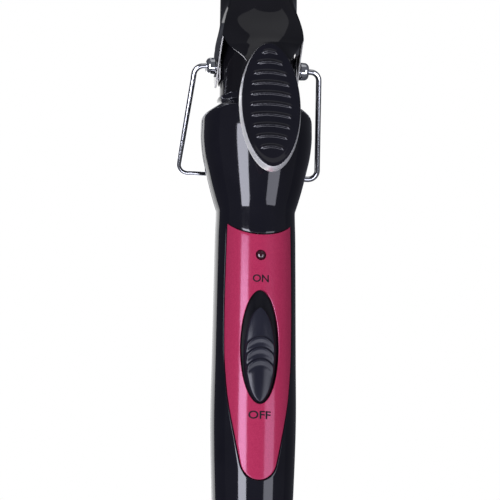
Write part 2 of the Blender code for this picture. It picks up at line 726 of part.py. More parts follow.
def knob_height(part, middle, y):
    bowed = y - 2.4 * MM * part * part
    ridge = sum(math.exp(-((bowed - place) / (0.75 * MM)) ** 2) for place in KNOB_RIDGES)
    return 0.7 * MM + (1.5 * middle ** 0.7 * (1 - abs(part) ** 3) + 0.8 * ridge * (1 - part ** 4)) * MM


def make_switch(slider):
    knob = add("switch_knob", slab(knob_grid(knob_height), knob_grid(lambda *_: 0.0)), "black_gloss", slider)
    stem = box((-1.2 * MM, -104 * MM, 8.5 * MM), (1.2 * MM, -99 * MM, 13.4 * MM))
    combine(knob, "UNION", cutter("add_knob_stem", stem, slider))
    lever = box((-1 * MM, LEVER[0], 3.8 * MM), (1 * MM, LEVER[1], 8.2 * MM))
    add("switch_lever", lever, "lead_white", slider)


# Cord gland ------------------------------------------------------------------------------------------------


def make_gland(root, swivel):
    """The gland turns in the handle's end wall, held by its inner flange, and carries two contact rings."""
    spigot, neck = 4.2 * MM, 5.0 * MM
    wall_in, wall_out = -179.4 * MM + GAP, HANDLE_END - GAP
    profile = [(-164 * MM, GLAND_BORE), (-164 * MM, spigot), (-174.5 * MM, spigot), (-174.5 * MM, GLAND_R),
               (wall_in, GLAND_R), (wall_in, neck), (wall_out, neck), (wall_out, 7.4 * MM),
               (-184.5 * MM, 7.2 * MM), (-187.4 * MM, 6.6 * MM), (GLAND_OUT, 6.0 * MM),
               (GLAND_OUT, GLAND_BORE)]
    add("cord_gland", turned(profile, 24), "black_gloss", swivel)
    for name, start, side in (("live", -166 * MM, -1), ("neutral", -170.5 * MM, 1)):
        ring = tube_profile(start - 3 * MM, start, spigot + GAP, spigot + GAP + 0.8 * MM)
        add(f"contact_ring_{name}", turned(ring, 16), "brass", swivel)
        touch, wide = spigot + 2 * GAP + 0.8 * MM, 1.1 * MM
        low, high = sorted((side * touch, side * (touch + 0.5 * MM)))
        brush = box((low, start - 1.5 * MM - wide, -2.4 * MM), (high, start - 1.5 * MM + wide, 4 * MM))
        add(f"contact_brush_{name}", brush, "brass", root)


def main():
    clear_scene()
    root = empty("iron", location=(0, -LENGTH_MID, FLOOR_DROP))
    clip = empty("clip_axis", root, (0, 0, PIVOT_Z))
    stand = empty("stand_axis", root, (0, 0, PIVOT_Z))
    slider = empty("switch_axis", root, (0, (KNOB[0] + KNOB[1]) / 2, handle_radius(KNOB[0])))
    swivel = empty("swivel_axis", root, (0, HANDLE_END, 0))
    make_barrel(root)
    make_heater(root)
    make_saddle(root)
    make_bushings(root)
    make_spring(root)
    blade, pad = make_clip_blade(clip), make_thumb_pad(clip)
    make_pad_screws(clip, blade, pad)
    make_stand(stand)
    make_handle(root)
    make_board(root)
    make_switch(slider)
    make_gland(root, swivel)


main()
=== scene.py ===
import math

import bmesh
import bpy
from mathutils import Matrix, Vector


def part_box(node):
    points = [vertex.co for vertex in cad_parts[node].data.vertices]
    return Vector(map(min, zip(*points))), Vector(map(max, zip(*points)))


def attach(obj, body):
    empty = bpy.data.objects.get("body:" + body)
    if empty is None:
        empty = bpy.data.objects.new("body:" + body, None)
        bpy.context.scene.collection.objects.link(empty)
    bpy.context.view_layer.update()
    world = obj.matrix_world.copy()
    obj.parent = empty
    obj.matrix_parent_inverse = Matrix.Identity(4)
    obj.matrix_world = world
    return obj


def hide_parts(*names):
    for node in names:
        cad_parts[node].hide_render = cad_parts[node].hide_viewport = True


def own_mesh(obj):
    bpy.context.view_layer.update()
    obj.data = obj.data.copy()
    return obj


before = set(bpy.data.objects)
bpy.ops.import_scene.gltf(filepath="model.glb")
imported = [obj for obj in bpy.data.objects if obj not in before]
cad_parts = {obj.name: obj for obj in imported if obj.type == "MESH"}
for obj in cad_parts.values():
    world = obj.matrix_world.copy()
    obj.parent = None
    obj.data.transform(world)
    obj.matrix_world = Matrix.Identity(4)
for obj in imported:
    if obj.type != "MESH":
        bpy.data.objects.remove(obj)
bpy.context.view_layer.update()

MM = 0.001


# The frame: the barrel's axis and the pivot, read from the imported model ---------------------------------


def middle(node):
    low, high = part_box(node)
    return (Vector(low) + Vector(high)) / 2


def size(node):
    low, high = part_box(node)
    return Vector(high) - Vector(low)


AXIS_Z = middle("barrel_tube").z
PIVOT = middle("pivot_bushing_left")
PIVOT_Y, PIVOT_UP = PIVOT.y, PIVOT.z - AXIS_Z
HOME = Matrix.Translation((0, PIVOT_Y, AXIS_Z))
BARREL_R = size("barrel_tube").x / 2 / math.cos(math.pi / 32)
GAP = 0.3 * MM
SHEET = 0.5 * MM


# The camera ---------------------------------------------------------------------------------------------

CAMERA_LEFT = math.radians(8.6)
CAMERA_DOWN = math.radians(14.0)
CAMERA_ROLL = math.radians(0.65)
CAMERA_FAR = 0.92
CAMERA_WIDTH = 165.5 * MM
AIM = Vector((-1.64 * MM, PIVOT_Y - 62.5 * MM, AXIS_Z))


def make_camera():
    toward = Vector((-math.sin(CAMERA_LEFT) * math.cos(CAMERA_DOWN), -math.sin(CAMERA_DOWN),
                     math.cos(CAMERA_LEFT) * math.cos(CAMERA_DOWN)))
    right = Vector((0, 1, 0)).cross(toward).normalized()
    up = toward.cross(right)
    turn = Matrix((right, up, toward)).transposed().to_4x4()
    data = bpy.data.cameras.new("camera")
    data.sensor_width = 36.0
    data.lens = 36.0 * CAMERA_FAR / CAMERA_WIDTH
    data.clip_start, data.clip_end = 0.01, 20.0
    camera = bpy.data.objects.new("camera", data)
    roll = Matrix.Rotation(CAMERA_ROLL, 4, "Z")
    camera.matrix_world = Matrix.Translation(AIM + toward * CAMERA_FAR) @ turn @ roll
    bpy.context.collection.objects.link(camera)
    bpy.context.scene.camera = camera


# Materials ----------------------------------------------------------------------------------------------


class Nodes:
    """A material under construction: short ways to add nodes and join them."""

    def __init__(self, name, **values):
        self.material = bpy.data.materials.new(name)
        self.material.use_nodes = True
        self.tree = self.material.node_tree
        self.shader = self.tree.nodes["Principled BSDF"]
        for key, value in values.items():
            self.shader.inputs[key.replace("_", " ")].default_value = value

    def add(self, kind, **values):
        node = self.tree.nodes.new(kind)
        for key, value in values.items():
            if key in node.inputs:
                node.inputs[key].default_value = value
            else:
                setattr(node, key, value)
        return node

    def link(self, source, target):
        self.tree.links.new(source, target)

    def place(self, stretch=(1, 1, 1)):
        """Object coordinates in metres, stretched."""
        coordinates = self.add("ShaderNodeTexCoord")
        mapping = self.add("ShaderNodeMapping")
        mapping.inputs["Scale"].default_value = stretch
        self.link(coordinates.outputs["Object"], mapping.inputs["Vector"])
        return mapping.outputs["Vector"]

    def noise(self, scale, detail=3.0, stretch=(1, 1, 1)):
        node = self.add("ShaderNodeTexNoise", Scale=scale, Detail=detail)
        self.link(self.place(stretch), node.inputs["Vector"])
        return node.outputs["Fac"]

    def ramp(self, source, stops):
        node = self.add("ShaderNodeValToRGB")
        elements = node.color_ramp.elements
        while len(elements) < len(stops):
            elements.new(0.5)
        for element, (place, colour) in zip(elements, stops):
            element.position = place
            element.color = colour if len(colour) == 4 else (*colour, 1.0)
        self.link(source, node.inputs["Fac"])
        return node.outputs["Color"]

    def grey(self, source, low, high, start=0.3, end=0.7):
        return self.ramp(source, ((start, (low,) * 3), (end, (high,) * 3)))

    def bump(self, source, strength, distance):
        node = self.add("ShaderNodeBump", Strength=strength, Distance=distance)
        self.link(source, node.inputs["Height"])
        return node.outputs["Normal"]


def gloss_plastic(name, dark, light, roughness, wave=0.00002, ior=1.5):
    """Moulded gloss: a slow drift of colour, fine handling marks in the roughness, a faint orange peel."""
    made = Nodes(name, IOR=ior)
    made.link(made.ramp(made.noise(60.0), ((0.35, dark), (0.65, light))), made.shader.inputs["Base Color"])
    marks = made.grey(made.noise(900.0, 6.0, (1, 0.15, 1)), roughness * 0.8, roughness * 1.35)
    made.link(marks, made.shader.inputs["Roughness"])
    made.link(made.bump(made.noise(260.0, 2.0), 0.12, wave), made.shader.inputs["Normal"])
    return made.material


def pearl_plastic(name):
    """Magenta pearl: fine flakes that shift the colour, under a smooth skin that tints what it reflects."""
    made = Nodes(name, IOR=1.5, Specular_Tint=(1.0, 0.62, 0.90, 1.0))
    cells = made.add("ShaderNodeTexVoronoi", Scale=5200.0)
    made.link(made.place(), cells.inputs["Vector"])
    stops = ((0.25, (0.228, 0.014, 0.046)), (0.85, (0.268, 0.021, 0.058)))
    made.link(made.ramp(cells.outputs["Color"], stops), made.shader.inputs["Base Color"])
    made.link(made.grey(made.noise(700.0, 4.0), 0.11, 0.16), made.shader.inputs["Roughness"])
    made.link(made.bump(made.noise(300.0, 2.0), 0.10, 0.00002), made.shader.inputs["Normal"])
    return made.material


def metal(name, colour, roughness, grain=(1, 1, 1), spread=0.4, scale=1500.0, part=1.0):
    """Bare metal: drawing or grinding marks along one way, and a little unevenness of tone."""
    made = Nodes(name, Metallic=part)
    dark = tuple(c * 0.86 for c in colour)
    made.link(made.ramp(made.noise(150.0), ((0.3, dark), (0.7, colour))), made.shader.inputs["Base Color"])
    lines = made.noise(scale, 4.0, grain)
    marks = made.grey(lines, roughness * (1 - spread), roughness * (1 + spread))
    made.link(marks, made.shader.inputs["Roughness"])
    made.link(made.bump(lines, 0.08, 0.00001), made.shader.inputs["Normal"])
    return made.material


def matt(name, dark, light, roughness=0.55, scale=400.0, shine=0.5):
    made = Nodes(name, Specular_IOR_Level=shine)
    colour = made.ramp(made.noise(scale, 5.0), ((0.3, dark), (0.7, light)))
    made.link(colour, made.shader.inputs["Base Color"])
    marks = made.grey(made.noise(scale * 2), roughness * 0.85, roughness * 1.15)
    made.link(marks, made.shader.inputs["Roughness"])
    made.link(made.bump(made.noise(scale * 4), 0.2, 0.00004), made.shader.inputs["Normal"])
    return made.material


def dark_lens(name):
    """A near-black red lens, clear at its surface."""
    made = Nodes(name, IOR=1.5, Coat_Weight=0.6, Coat_Roughness=0.02)
    stops = ((0.3, (0.012, 0.002, 0.005)), (0.7, (0.030, 0.004, 0.010)))
    made.link(made.ramp(made.noise(500.0), stops), made.shader.inputs["Base Color"])
    made.link(made.grey(made.noise(800.0), 0.04, 0.08), made.shader.inputs["Roughness"])
    return made.material


BLACK = gloss_plastic("black_gloss_moulding", (0.0026, 0.0025, 0.0048), (0.0042, 0.0040, 0.0066), 0.07)
ENAMEL = gloss_plastic("clip_enamel", (0.0026, 0.0025, 0.0036), (0.0042, 0.0040, 0.0052), 0.06)
BARREL_BLACK = gloss_plastic("barrel_coat", (0.0032, 0.003, 0.0042), (0.005, 0.0048, 0.006), 0.12, ior=1.3)
KNOB_BLACK = gloss_plastic("knob_satin", (0.007, 0.0072, 0.012), (0.011, 0.0112, 0.017), 0.20, ior=1.36)
# Painted shade: the recess floor's black is darker and less reflective than the moulding, standing in for the
# shade inside the recess.
RECESS_SHADE_BLACK = gloss_plastic("recess_black_painted_shade", (0.002, 0.002, 0.003), (0.003, 0.003, 0.0045), 0.40, ior=1.2)
MAGENTA = pearl_plastic("magenta_pearl")
CHROME = metal("chrome_plate", (0.78, 0.79, 0.82), 0.09, spread=0.15, scale=500.0)
STEEL = metal("bright_steel", (0.58, 0.58, 0.60), 0.24, (1, 0.1, 1))
EDGE = matt("sheared_edge", (0.42, 0.41, 0.40), (0.54, 0.53, 0.51), 0.30)
RIM = metal("silvered_rim", (0.90, 0.89, 0.87), 0.30, (1, 1, 0.2), 0.15, 500.0, 0.6)
ALUMINIUM = metal("extruded_aluminium", (0.72, 0.73, 0.74), 0.32, (1, 0.05, 1))
BRASS = metal("bright_brass", (0.76, 0.56, 0.26), 0.22, (0.1, 1, 1))
LENS = dark_lens("indicator_red")
INK = matt("printed_ink", (0.006, 0.005, 0.008), (0.012, 0.010, 0.014), 0.60, 1500.0, 0.08)
CERAMIC = matt("pressed_ceramic", (0.74, 0.72, 0.66), (0.84, 0.82, 0.77), 0.65)
BOARD = matt("solder_mask", (0.03, 0.15, 0.06), (0.06, 0.22, 0.10), 0.40)
RESIN = matt("heat_resin", (0.07, 0.055, 0.05), (0.12, 0.10, 0.09), 0.60)
SLEEVE = matt("lead_sleeve", (0.66, 0.65, 0.60), (0.78, 0.77, 0.73), 0.60)


# Shapes -------------------------------------------------------------------------------------------------


def mix(first, second, part):
    return first + (second - first) * part


def smoothstep(value, low, high):
    part = min(1.0, max(0.0, (value - low) / (high - low)))
    return part * part * (3 - 2 * part)


def smooth_along(points, y):
    """A smooth curve through (y, value) points in falling y, in mm, read at y in metres."""
    place = y / MM
    last = len(points) - 1
    k = next((i for i in range(last) if place >= points[i + 1][0]), last - 1)
    (y0, v0), (y1, v1) = points[k], points[k + 1]

    def slope(i):
        before, after = points[max(i - 1, 0)], points[min(i + 1, last)]
        return (after[1] - before[1]) / (after[0] - before[0])

    step = y1 - y0
    part = min(1.0, max(0.0, (place - y0) / step))
    p2, p3 = part * part, part ** 3
    value = (2 * p3 - 3 * p2 + 1) * v0 + (p3 - 2 * p2 + part) * step * slope(k)
    value += (3 * p2 - 2 * p3) * v1 + (p3 - p2) * step * slope(k + 1)
    return value * MM


def piece(name, shape, materials, body, replaced=(), sharp=35):
    """A bmesh drawn about the pivot becomes an object that rides on a body."""
    bmesh.ops.remove_doubles(shape, verts=shape.verts, dist=2e-7)
    bmesh.ops.recalc_face_normals(shape, faces=shape.faces)
    mesh = bpy.data.meshes.new(name)
    shape.transform(HOME)
    shape.to_mesh(mesh)
    shape.free()
    mesh.shade_smooth()
    mesh.set_sharp_from_angle(angle=math.radians(sharp))
    for one in materials if isinstance(materials, (list, tuple)) else [materials]:
        mesh.materials.append(one)
    made = bpy.data.objects.new(name, mesh)
    bpy.context.collection.objects.link(made)
    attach(made, body)
    if replaced:
        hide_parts(*replaced)
    return made


def apply(obj):
    """The object's modifiers become its mesh."""
    bpy.context.view_layer.update()
    graph = bpy.context.evaluated_depsgraph_get()
    mesh = bpy.data.meshes.new_from_object(obj.evaluated_get(graph))
    obj.modifiers.clear()
    old = obj.data
    obj.data = mesh
    mesh.name = old.name
    bpy.data.meshes.remove(old)


def subtract(target, shape, name):
    """Cuts a bmesh drawn about the pivot out of a piece, for good."""
    bmesh.ops.remove_doubles(shape, verts=shape.verts, dist=2e-7)
    bmesh.ops.recalc_face_normals(shape, faces=shape.faces)
    shape.transform(HOME)
    mesh = bpy.data.meshes.new(name)
    shape.to_mesh(mesh)
    shape.free()
    tool = bpy.data.objects.new(name, mesh)
    bpy.context.collection.objects.link(tool)
    step = target.modifiers.new(name, "BOOLEAN")
    step.operation, step.solver, step.object = "DIFFERENCE", "EXACT", tool
    apply(target)
    bpy.data.objects.remove(tool)


def loft(rings, ends=True):
    """Faces between rings of points of one length; ends adds a cap at the first and the last."""
    shape = bmesh.new()
    made = [[shape.verts.new(point) for point in ring] for ring in rings]
    count = len(rings[0])
    for near, far in zip(made, made[1:]):
        for i in range(count):
            shape.faces.new((near[i], near[(i + 1) % count], far[(i + 1) % count], far[i]))
    if ends:
        shape.faces.new(made[0])
        shape.faces.new(made[-1])
    return shape


def turned(profile, sides=96, axis="Y", centre=(0, 0, 0), capped=False):
    """A turned shape from (place, radius) points, joined end to end unless capped."""
    rings = []
    for place, radius in profile:
        ring = []
        for i in range(sides):
            turn = 2 * math.pi * i / sides
            across, up = radius * math.sin(turn), radius * math.cos(turn)
            point = {"Y": (across, place, up), "X": (place, across, up), "Z": (across, up, place)}[axis]
            ring.append(Vector(point) + Vector(centre))
        rings.append(ring)
    if not capped:
        rings.append(rings[0])
    return loft(rings, ends=capped)


def soft(profile, radius, steps=4):
    """A profile whose inner corners are each replaced by a short curve."""
    points = [profile[0]]
    for before, corner, after in zip(profile, profile[1:], profile[2:]):
        before, corner, after = Vector(before), Vector(corner), Vector(after)
        near = min(radius, (before - corner).length * 0.45)
        far = min(radius, (after - corner).length * 0.45)
        start = corner + (before - corner).normalized() * near
        end = corner + (after - corner).normalized() * far
        for i in range(steps + 1):
            part = i / steps
            points.append(tuple((1 - part) ** 2 * start + 2 * part * (1 - part) * corner + part ** 2 * end))
    points.append(profile[-1])
    return points


def wire(path, radius, sides=16):
    """A round wire along a path, its ends capped flat."""
    rings = []
    side = None
    for i, point in enumerate(path):
        ahead = (path[min(i + 1, len(path) - 1)] - path[max(i - 1, 0)]).normalized()
        if side is None:
            side = ahead.orthogonal()
        side = (side - ahead * side.dot(ahead)).normalized()
        other = ahead.cross(side)
        turns = [2 * math.pi * k / sides for k in range(sides)]
        rings.append([point + radius * (math.cos(t) * side + math.sin(t) * other) for t in turns])
    return loft(rings)


# Handle -------------------------------------------------------------------------------------------------

HANDLE_OUTLINE = (  # (y, radius) in mm: lip, rounded shoulder, flare, neck crease, slow swell and taper
    (-11.0, 13.3), (-12.5, 13.35), (-13.3, 13.7), (-14.4, 14.9), (-15.5, 16.3), (-16.7, 17.65),
    (-17.5, 18.25), (-18.6, 18.55), (-21.0, 18.62), (-25.0, 18.6), (-30.5, 18.0), (-36.0, 16.8),
    (-41.5, 15.5), (-46.0, 14.25), (-48.8, 13.38), (-49.5, 13.17), (-50.6, 13.14), (-54.0, 13.22),
    (-58.0, 13.35), (-66.0, 13.45),
    (-80.0, 13.6), (-100.0, 13.8), (-118.0, 14.0), (-130.0, 13.8), (-147.0, 13.2),
    (-163.0, 12.5), (-175.0, 11.7), (-179.0, 10.9), (-181.2, 9.9), (-182.0, 8.9),
)
PANEL_OUTLINE = (  # (y, half width round the handle) in mm
    (-56.0, 12.2), (-80.0, 12.9), (-98.0, 12.8), (-106.5, 12.1), (-115.0, 10.9), (-128.4, 7.9),
    (-136.0, 6.1),
)
PANEL_TOP, PANEL_LAST, PANEL_END = -56.0 * MM, -136.0 * MM, -141.3 * MM
PANEL_SAG = 4.4 * MM
PANEL_THICK = 1.0 * MM
CAP_START = math.radians(15.3)
LIP = GAP + 0.22 * MM
ROWS, CAP_ROWS, SIDE_COLUMNS, MID_COLUMNS = 70, 14, 30, 40


def on_handle(y, arc, depth=0.0):
    surface = smooth_along(HANDLE_OUTLINE, y)
    turn = arc / surface
    return Vector(((surface - depth) * math.sin(turn), y, (surface - depth) * math.cos(turn)))


def panel_rows(widen):
    """(y, half arc) down the panel's side and round its lower end, the outline grown by widen."""
    rows = []
    for i in range(ROWS + 1):
        y = mix(PANEL_TOP, PANEL_LAST, i / ROWS)
        rows.append((y + (widen if i == 0 else 0.0), smooth_along(PANEL_OUTLINE, y) + widen))
    last = smooth_along(PANEL_OUTLINE, PANEL_LAST)
    for i in range(1, CAP_ROWS + 1):
        turn = mix(CAP_START, math.pi / 2, i / CAP_ROWS)
        part = (math.sin(turn) - math.sin(CAP_START)) / (1 - math.sin(CAP_START))
        drop = (PANEL_LAST - PANEL_END + widen) * part
        rows.append((PANEL_LAST - drop, (last + widen) * math.cos(turn) / math.cos(CAP_START)))
    return rows


def top_edge(part, widen):
    return PANEL_TOP + widen - PANEL_SAG * (1 - part * part)


def outline_ring(widen, depth):
    """The panel's whole outline as one ring: its top edge, then down the right and back up the left."""
    rows = panel_rows(widen)
    half = rows[0][1]
    parts = [mix(-1, 1, i / MID_COLUMNS) for i in range(MID_COLUMNS + 1)]
    ring = [on_handle(top_edge(part, widen), half * part, depth) for part in parts]
    ring += [on_handle(y, arc, depth) for y, arc in rows[1:]]
    ring += [on_handle(y, -arc, depth) for y, arc in rows[-2:0:-1]]
    return ring


def grid_faces(shape, grid):
    made = [[shape.verts.new(point) for point in row] for row in grid]
    for near, far in zip(made, made[1:]):
        for c in range(len(near) - 1):
            corners = (near[c], near[c + 1], far[c + 1], far[c])
            if len({tuple(round(v * 1e7) for v in corner.co) for corner in corners}) > 2:
                shape.faces.new(corners)


def add_rings(shape, rings):
    for near, far in zip(rings, rings[1:]):
        count = len(near)
        first = [shape.verts.new(point) for point in near]
        second = [shape.verts.new(point) for point in far]
        for i in range(count):
            shape.faces.new((first[i], first[(i + 1) % count], second[(i + 1) % count], second[i]))


def stations(start, end, step):
    count = max(1, round(abs(end - start) / step))
    return [mix(start, end, i / count) for i in range(count + 1)]


def make_front_shell():
    """The upper half of the handle, its surface opened for the panel with a small rolled lip."""
    shape = bmesh.new()
    upper = stations(-11 * MM, -22 * MM, 0.35 * MM) + stations(-22 * MM, PANEL_TOP + LIP, 0.6 * MM)[1:]
    rows = panel_rows(LIP)
    below = stations(rows[-1][0], -178 * MM, 1.2 * MM)[1:] + stations(-178 * MM, -182 * MM, 0.3 * MM)[1:]
    corner = rows[0][1] / smooth_along(HANDLE_OUTLINE, rows[0][0])
    starts = [(y, corner * smooth_along(HANDLE_OUTLINE, y)) for y in upper[:-1]]
    starts += rows + [(y, 0.0) for y in below]
    for side in (-1, 1):
        grid = []
        for y, arc in starts:
            surface = smooth_along(HANDLE_OUTLINE, y)
            edge = math.pi / 2 * surface - GAP / 3
            arcs = [side * mix(arc, edge, i / SIDE_COLUMNS) for i in range(SIDE_COLUMNS + 1)]
            grid.append([on_handle(y, one) for one in arcs])
        grid_faces(shape, grid)
    middle_grid = []
    for y in upper:
        half = corner * smooth_along(HANDLE_OUTLINE, y)
        fade = smoothstep(-y, 45 * MM, -PANEL_TOP - LIP)
        line = []
        for i in range(MID_COLUMNS + 1):
            part = mix(-1, 1, i / MID_COLUMNS)
            line.append(on_handle(y - fade * PANEL_SAG * (1 - part * part), half * part))
        middle_grid.append(line)
    grid_faces(shape, middle_grid)
    add_rings(shape, [outline_ring(LIP, 0.0), outline_ring(GAP + 0.10 * MM, 0.03 * MM),
                      outline_ring(GAP + 0.02 * MM, 0.12 * MM), outline_ring(GAP, 0.3 * MM),
                      outline_ring(GAP, 1.25 * MM)])
    shell = piece("handle_front", shape, BLACK, "handle", ["handle_front_shell"], 50)
    thicken(shell, 0.7 * MM)
    return shell


def thicken(obj, thickness, offset=-1.0, rim=0):
    sheet = obj.modifiers.new("sheet", "SOLIDIFY")
    sheet.thickness = thickness
    sheet.offset = offset
    sheet.use_even_offset = False
    sheet.material_offset_rim = rim
    apply(obj)


def make_rear_shell():
    shape = bmesh.new()
    ys = stations(-11 * MM, -22 * MM, 0.35 * MM) + stations(-22 * MM, -56 * MM, 0.6 * MM)[1:]
    ys += stations(-56 * MM, -178 * MM, 1.5 * MM)[1:] + stations(-178 * MM, -182 * MM, 0.3 * MM)[1:]
    grid = []
    for y in ys:
        surface = smooth_along(HANDLE_OUTLINE, y)
        low, high = math.pi / 2 * surface + GAP / 3, math.pi * 1.5 * surface - GAP / 3
        grid.append([on_handle(y, mix(low, high, i / 96)) for i in range(97)])
    grid_faces(shape, grid)
    shell = piece("handle_rear", shape, BLACK, "handle", ["handle_rear_shell"], 50)
    thicken(shell, 0.7 * MM)
    for screw in ("handle_screw_near", "handle_screw_far"):
        y = middle(screw).y - PIVOT_Y
        seat = turned([(-20 * MM, 2.75 * MM), (-10 * MM, 2.75 * MM)], 40, "Z", (0, y, 0), capped=True)
        subtract(shell, seat, "seat")
    return shell


# Face panel, light and switch ---------------------------------------------------------------------------

RECESS_NEAR, RECESS_FAR, RECESS_HALF = -79.1 * MM, -116.8 * MM, 6.3 * MM
KNOB_NEAR, KNOB_FAR, KNOB_HALF = -84.9 * MM, -116.3 * MM, 5.2 * MM
KNOB_RIDGES = (-95.2 * MM, -98.8 * MM, -102.6 * MM)


def oval_ring(near, far, half_width, grow, depth, count=96):
    """An ellipse laid on the handle, grown outwards, a depth below the surface."""
    ring = []
    for i in range(count):
        turn = 2 * math.pi * i / count
        y = mix(near + grow, far - grow, (1 - math.cos(turn)) / 2)
        x = math.sin(turn) * (half_width + grow)
        surface = smooth_along(HANDLE_OUTLINE, y) - depth
        ring.append(Vector((x, y, math.sqrt(surface * surface - x * x))))
    return ring


def make_panel():
    shape = bmesh.new()
    inset = -0.35 * MM
    grid = []
    rows = panel_rows(inset)
    for index, (y, half) in enumerate(rows):
        line = []
        for i in range(MID_COLUMNS + 1):
            part = mix(-1, 1, i / MID_COLUMNS)
            fade = 1 - smoothstep(index, 0, 14)
            line.append(on_handle(y - fade * PANEL_SAG * (1 - part * part), half * part))
        grid.append(line)
    grid_faces(shape, grid)
    rings = [outline_ring(inset, 0.0), outline_ring(-0.18 * MM, 0.02 * MM),
             outline_ring(-0.06 * MM, 0.08 * MM), outline_ring(0.0, 0.2 * MM), outline_ring(0.0, PANEL_THICK)]
    add_rings(shape, rings)
    back = []
    for index, (y, half) in enumerate(panel_rows(0.0)):
        fade = 1 - smoothstep(index, 0, 14)
        parts = [mix(-1, 1, i / MID_COLUMNS) for i in range(MID_COLUMNS + 1)]
        back.append([on_handle(y - fade * PANEL_SAG * (1 - p * p), half * p, PANEL_THICK) for p in parts])
    grid_faces(shape, back)
    panel = piece("face_panel_pearl", shape, MAGENTA, "handle", ["face_panel"], 40)
    light_y = middle("indicator_lens").y - PIVOT_Y
    top = smooth_along(HANDLE_OUTLINE, light_y)
    hole = [(top - 4 * MM, 1.72 * MM), (top - 0.15 * MM, 1.72 * MM)]
    hole += [(top + 0.05 * MM, 1.95 * MM), (top + 3 * MM, 2.0 * MM)]
    subtract(panel, turned(hole, 48, "Z", (0, light_y, 0), capped=True), "light_hole")
    oval = (RECESS_NEAR, RECESS_FAR, RECESS_HALF)
    levels = ((0.0, 3 * MM), (0.0, 0.3 * MM), (0.06 * MM, 0.1 * MM), (0.22 * MM, -0.02 * MM),
              (0.24 * MM, -2 * MM))
    subtract(panel, loft([oval_ring(*oval, grow, depth) for grow, depth in levels]), "recess")
    return panel


def make_recess_floor():
    """The black floor seen round the knob, dished a little towards its middle, in a darker, less reflective
    black that paints the shade of the recess.
    """
    oval = (RECESS_NEAR, RECESS_FAR, RECESS_HALF)
    rings = [oval_ring(*oval, grow, depth) for grow, depth in (
        (0.5 * MM, 1.12 * MM), (-0.2 * MM, 1.12 * MM), (-0.9 * MM, 1.2 * MM), (-2.4 * MM, 1.25 * MM))]
    under = oval_ring(*oval, 0.5 * MM, 1.3 * MM)
    piece("recess_floor", loft([under] + rings), RECESS_SHADE_BLACK, "handle", ())


def make_lens():
    y = middle("indicator_lens").y - PIVOT_Y
    top = smooth_along(HANDLE_OUTLINE, y)
    profile = [(top - 3 * MM, 1.2 * MM), (top - 3 * MM, 1.5 * MM), (top - 0.35 * MM, 1.5 * MM)]
    profile += [(top - 0.35 * MM + 1.0 * MM * math.sin(t), 1.5 * MM * math.cos(t))
                for t in (mix(0, math.pi / 2, i / 12) for i in range(1, 12))]
    profile.append((top + 0.65 * MM, 0.02 * MM))
    piece("indicator_dome", turned(profile, 48, "Z", (0, y, 0), capped=True), LENS, "handle",
          ["indicator_lens"], 60)


def knob_point(row_part, part):
    turn = math.pi * row_part
    y = mix(KNOB_NEAR, KNOB_FAR, (1 - math.cos(turn)) / 2)
    wide = math.sin(turn)
    half = KNOB_HALF * max(wide, 1e-3) ** 1.05
    x = half * part
    floor = smooth_along(HANDLE_OUTLINE, y) - PANEL_THICK + 0.15 * MM
    base = math.sqrt(floor * floor - x * x)
    edge = min(1.0, (1 - abs(part)) * half / (0.7 * MM))
    wall = math.sqrt(max(0.0, 1 - (1 - edge) ** 2))
    crown = 0.35 * MM * (1 - part * part) + 0.9 * MM * wide ** 1.2
    ridge = 0.0
    for place in KNOB_RIDGES:
        away = y - place + 3.2 * MM * part * part
        spread = 0.42 * MM if away > 0 else 1.5 * MM
        ridge += math.exp(-(away / spread) ** 2)
    ridge *= 0.85 * MM * smoothstep(1 - abs(part), 0.02, 0.2)
    return Vector((x, y, base + wall * (0.75 * MM + crown) + ridge))


def make_knob():
    shape = bmesh.new()
    rows, columns = 220, 56
    grid = [[knob_point(mix(0.002, 0.998, r / rows), math.sin(math.pi / 2 * mix(-1, 1, c / columns)))
             for c in range(columns + 1)] for r in range(rows + 1)]
    under = []
    for line in grid:
        low = []
        for point in line:
            floor = smooth_along(HANDLE_OUTLINE, point.y) - PANEL_THICK + 0.1 * MM
            low.append(Vector((point.x, point.y, math.sqrt(floor * floor - point.x * point.x))))
        under.append(low)
    grid_faces(shape, grid)
    grid_faces(shape, under)
    for first, second in ((grid[0], under[0]), (grid[-1], under[-1])):
        grid_faces(shape, [first, second])
    for column in (0, -1):
        grid_faces(shape, [[line[column] for line in grid], [line[column] for line in under]])
    piece("slider_knob", shape, KNOB_BLACK, "switch", ["switch_knob"], 60)


def make_word(name, word, y, width, height):
    """A printed word laid on the panel, read from the handle's end."""
    text = bpy.data.curves.new(name, "FONT")
    text.body = word
    text.align_x, text.align_y = "CENTER", "CENTER"
    text.resolution_u = 6
    text.offset = 0.018
    holder = bpy.data.objects.new(f"{name}_text", text)
    bpy.context.collection.objects.link(holder)
    bpy.context.view_layer.update()
    graph = bpy.context.evaluated_depsgraph_get()
    mesh = bpy.data.meshes.new_from_object(holder.evaluated_get(graph))
    bpy.data.objects.remove(holder)
    shape = bmesh.new()
    shape.from_mesh(mesh)
    bpy.data.meshes.remove(mesh)
    xs, ys = [v.co.x for v in shape.verts], [v.co.y for v in shape.verts]
    wide, tall = max(xs) - min(xs), max(ys) - min(ys)
    mid_x, mid_y = (max(xs) + min(xs)) / 2, (max(ys) + min(ys)) / 2
    bmesh.ops.triangulate(shape, faces=shape.faces)
    bmesh.ops.subdivide_edges(shape, edges=[e for e in shape.edges if e.calc_length() > wide / 12], cuts=2)
    for vert in shape.verts:
        across, along = (vert.co.x - mid_x) / wide * width, (vert.co.y - mid_y) / tall * height
        vert.co = on_handle(y + along, across, -0.03 * MM)
    printed = piece(name, shape, INK, "handle", (), 60)
    thicken(printed, 0.02 * MM)


# Clip ---------------------------------------------------------------------------------------------------

